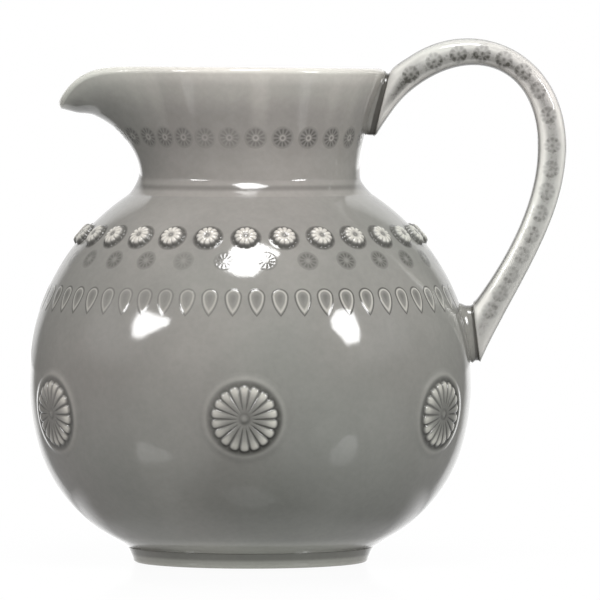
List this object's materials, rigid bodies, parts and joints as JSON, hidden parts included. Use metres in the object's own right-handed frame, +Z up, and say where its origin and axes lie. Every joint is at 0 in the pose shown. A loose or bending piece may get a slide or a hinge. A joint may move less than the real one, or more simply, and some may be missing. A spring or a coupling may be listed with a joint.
{
  "type": "pouring jug",
  "caption": "Round-bodied glazed stoneware jug with a foot ring, flared neck, drooping spout, loop handle and rows of applied rosettes, for pouring drinks.",
  "frame": {"origin": "middle of the foot ring, on the table", "axes": "+Z up; +X from the spout to the handle; the jug is symmetric about the XZ plane"},
  "size_m": [0.2036, 0.1736, 0.198],
  "materials": {
    "body_glaze": "gloss, mid warm grey, darker where the glaze pools",
    "foot_glaze": "gloss, mid grey, dark in the crease above the foot",
    "neck_glaze": "gloss, mid grey, breaking lighter at the rim",
    "handle_glaze": "gloss, light grey",
    "seam_glaze": "gloss, dark pooled glaze",
    "sprig_glaze": "gloss, light on the raised petals and dark between them"
  },
  "bodies": {
    "root": {"globe_body": "body_glaze", "foot_ring": "foot_glaze", "neck_and_spout": "neck_glaze", "handle": "handle_glaze", "upper_handle_seam": "seam_glaze", "lower_handle_seam": "seam_glaze", "large_rosette_1": "sprig_glaze", "large_rosette_2": "sprig_glaze", "large_rosette_3": "sprig_glaze", "large_rosette_4": "sprig_glaze", "large_rosette_5": "sprig_glaze", "large_rosette_6": "sprig_glaze", "shoulder_rosette_1": "sprig_glaze", "shoulder_rosette_2": "sprig_glaze", "shoulder_rosette_3": "sprig_glaze", "shoulder_rosette_4": "sprig_glaze", "shoulder_rosette_5": "sprig_glaze", "shoulder_rosette_6": "sprig_glaze", "shoulder_rosette_7": "sprig_glaze", "shoulder_rosette_8": "sprig_glaze", "shoulder_rosette_9": "sprig_glaze", "shoulder_rosette_10": "sprig_glaze", "shoulder_rosette_11": "sprig_glaze", "shoulder_rosette_12": "sprig_glaze", "shoulder_rosette_13": "sprig_glaze", "shoulder_rosette_14": "sprig_glaze", "shoulder_rosette_15": "sprig_glaze", "shoulder_rosette_16": "sprig_glaze", "shoulder_rosette_17": "sprig_glaze", "shoulder_rosette_18": "sprig_glaze", "shoulder_rosette_19": "sprig_glaze", "shoulder_rosette_20": "sprig_glaze", "shoulder_rosette_21": "sprig_glaze", "shoulder_rosette_22": "sprig_glaze", "shoulder_rosette_23": "sprig_glaze", "shoulder_rosette_24": "sprig_glaze", "shoulder_rosette_25": "sprig_glaze", "shoulder_rosette_26": "sprig_glaze", "shoulder_rosette_27": "sprig_glaze", "shoulder_rosette_28": "sprig_glaze", "shoulder_daisies": "body_glaze", "drop_band": "sprig_glaze", "neck_daisies": "neck_glaze", "handle_daisies": "handle_glaze"}
  },
  "joints": []
}
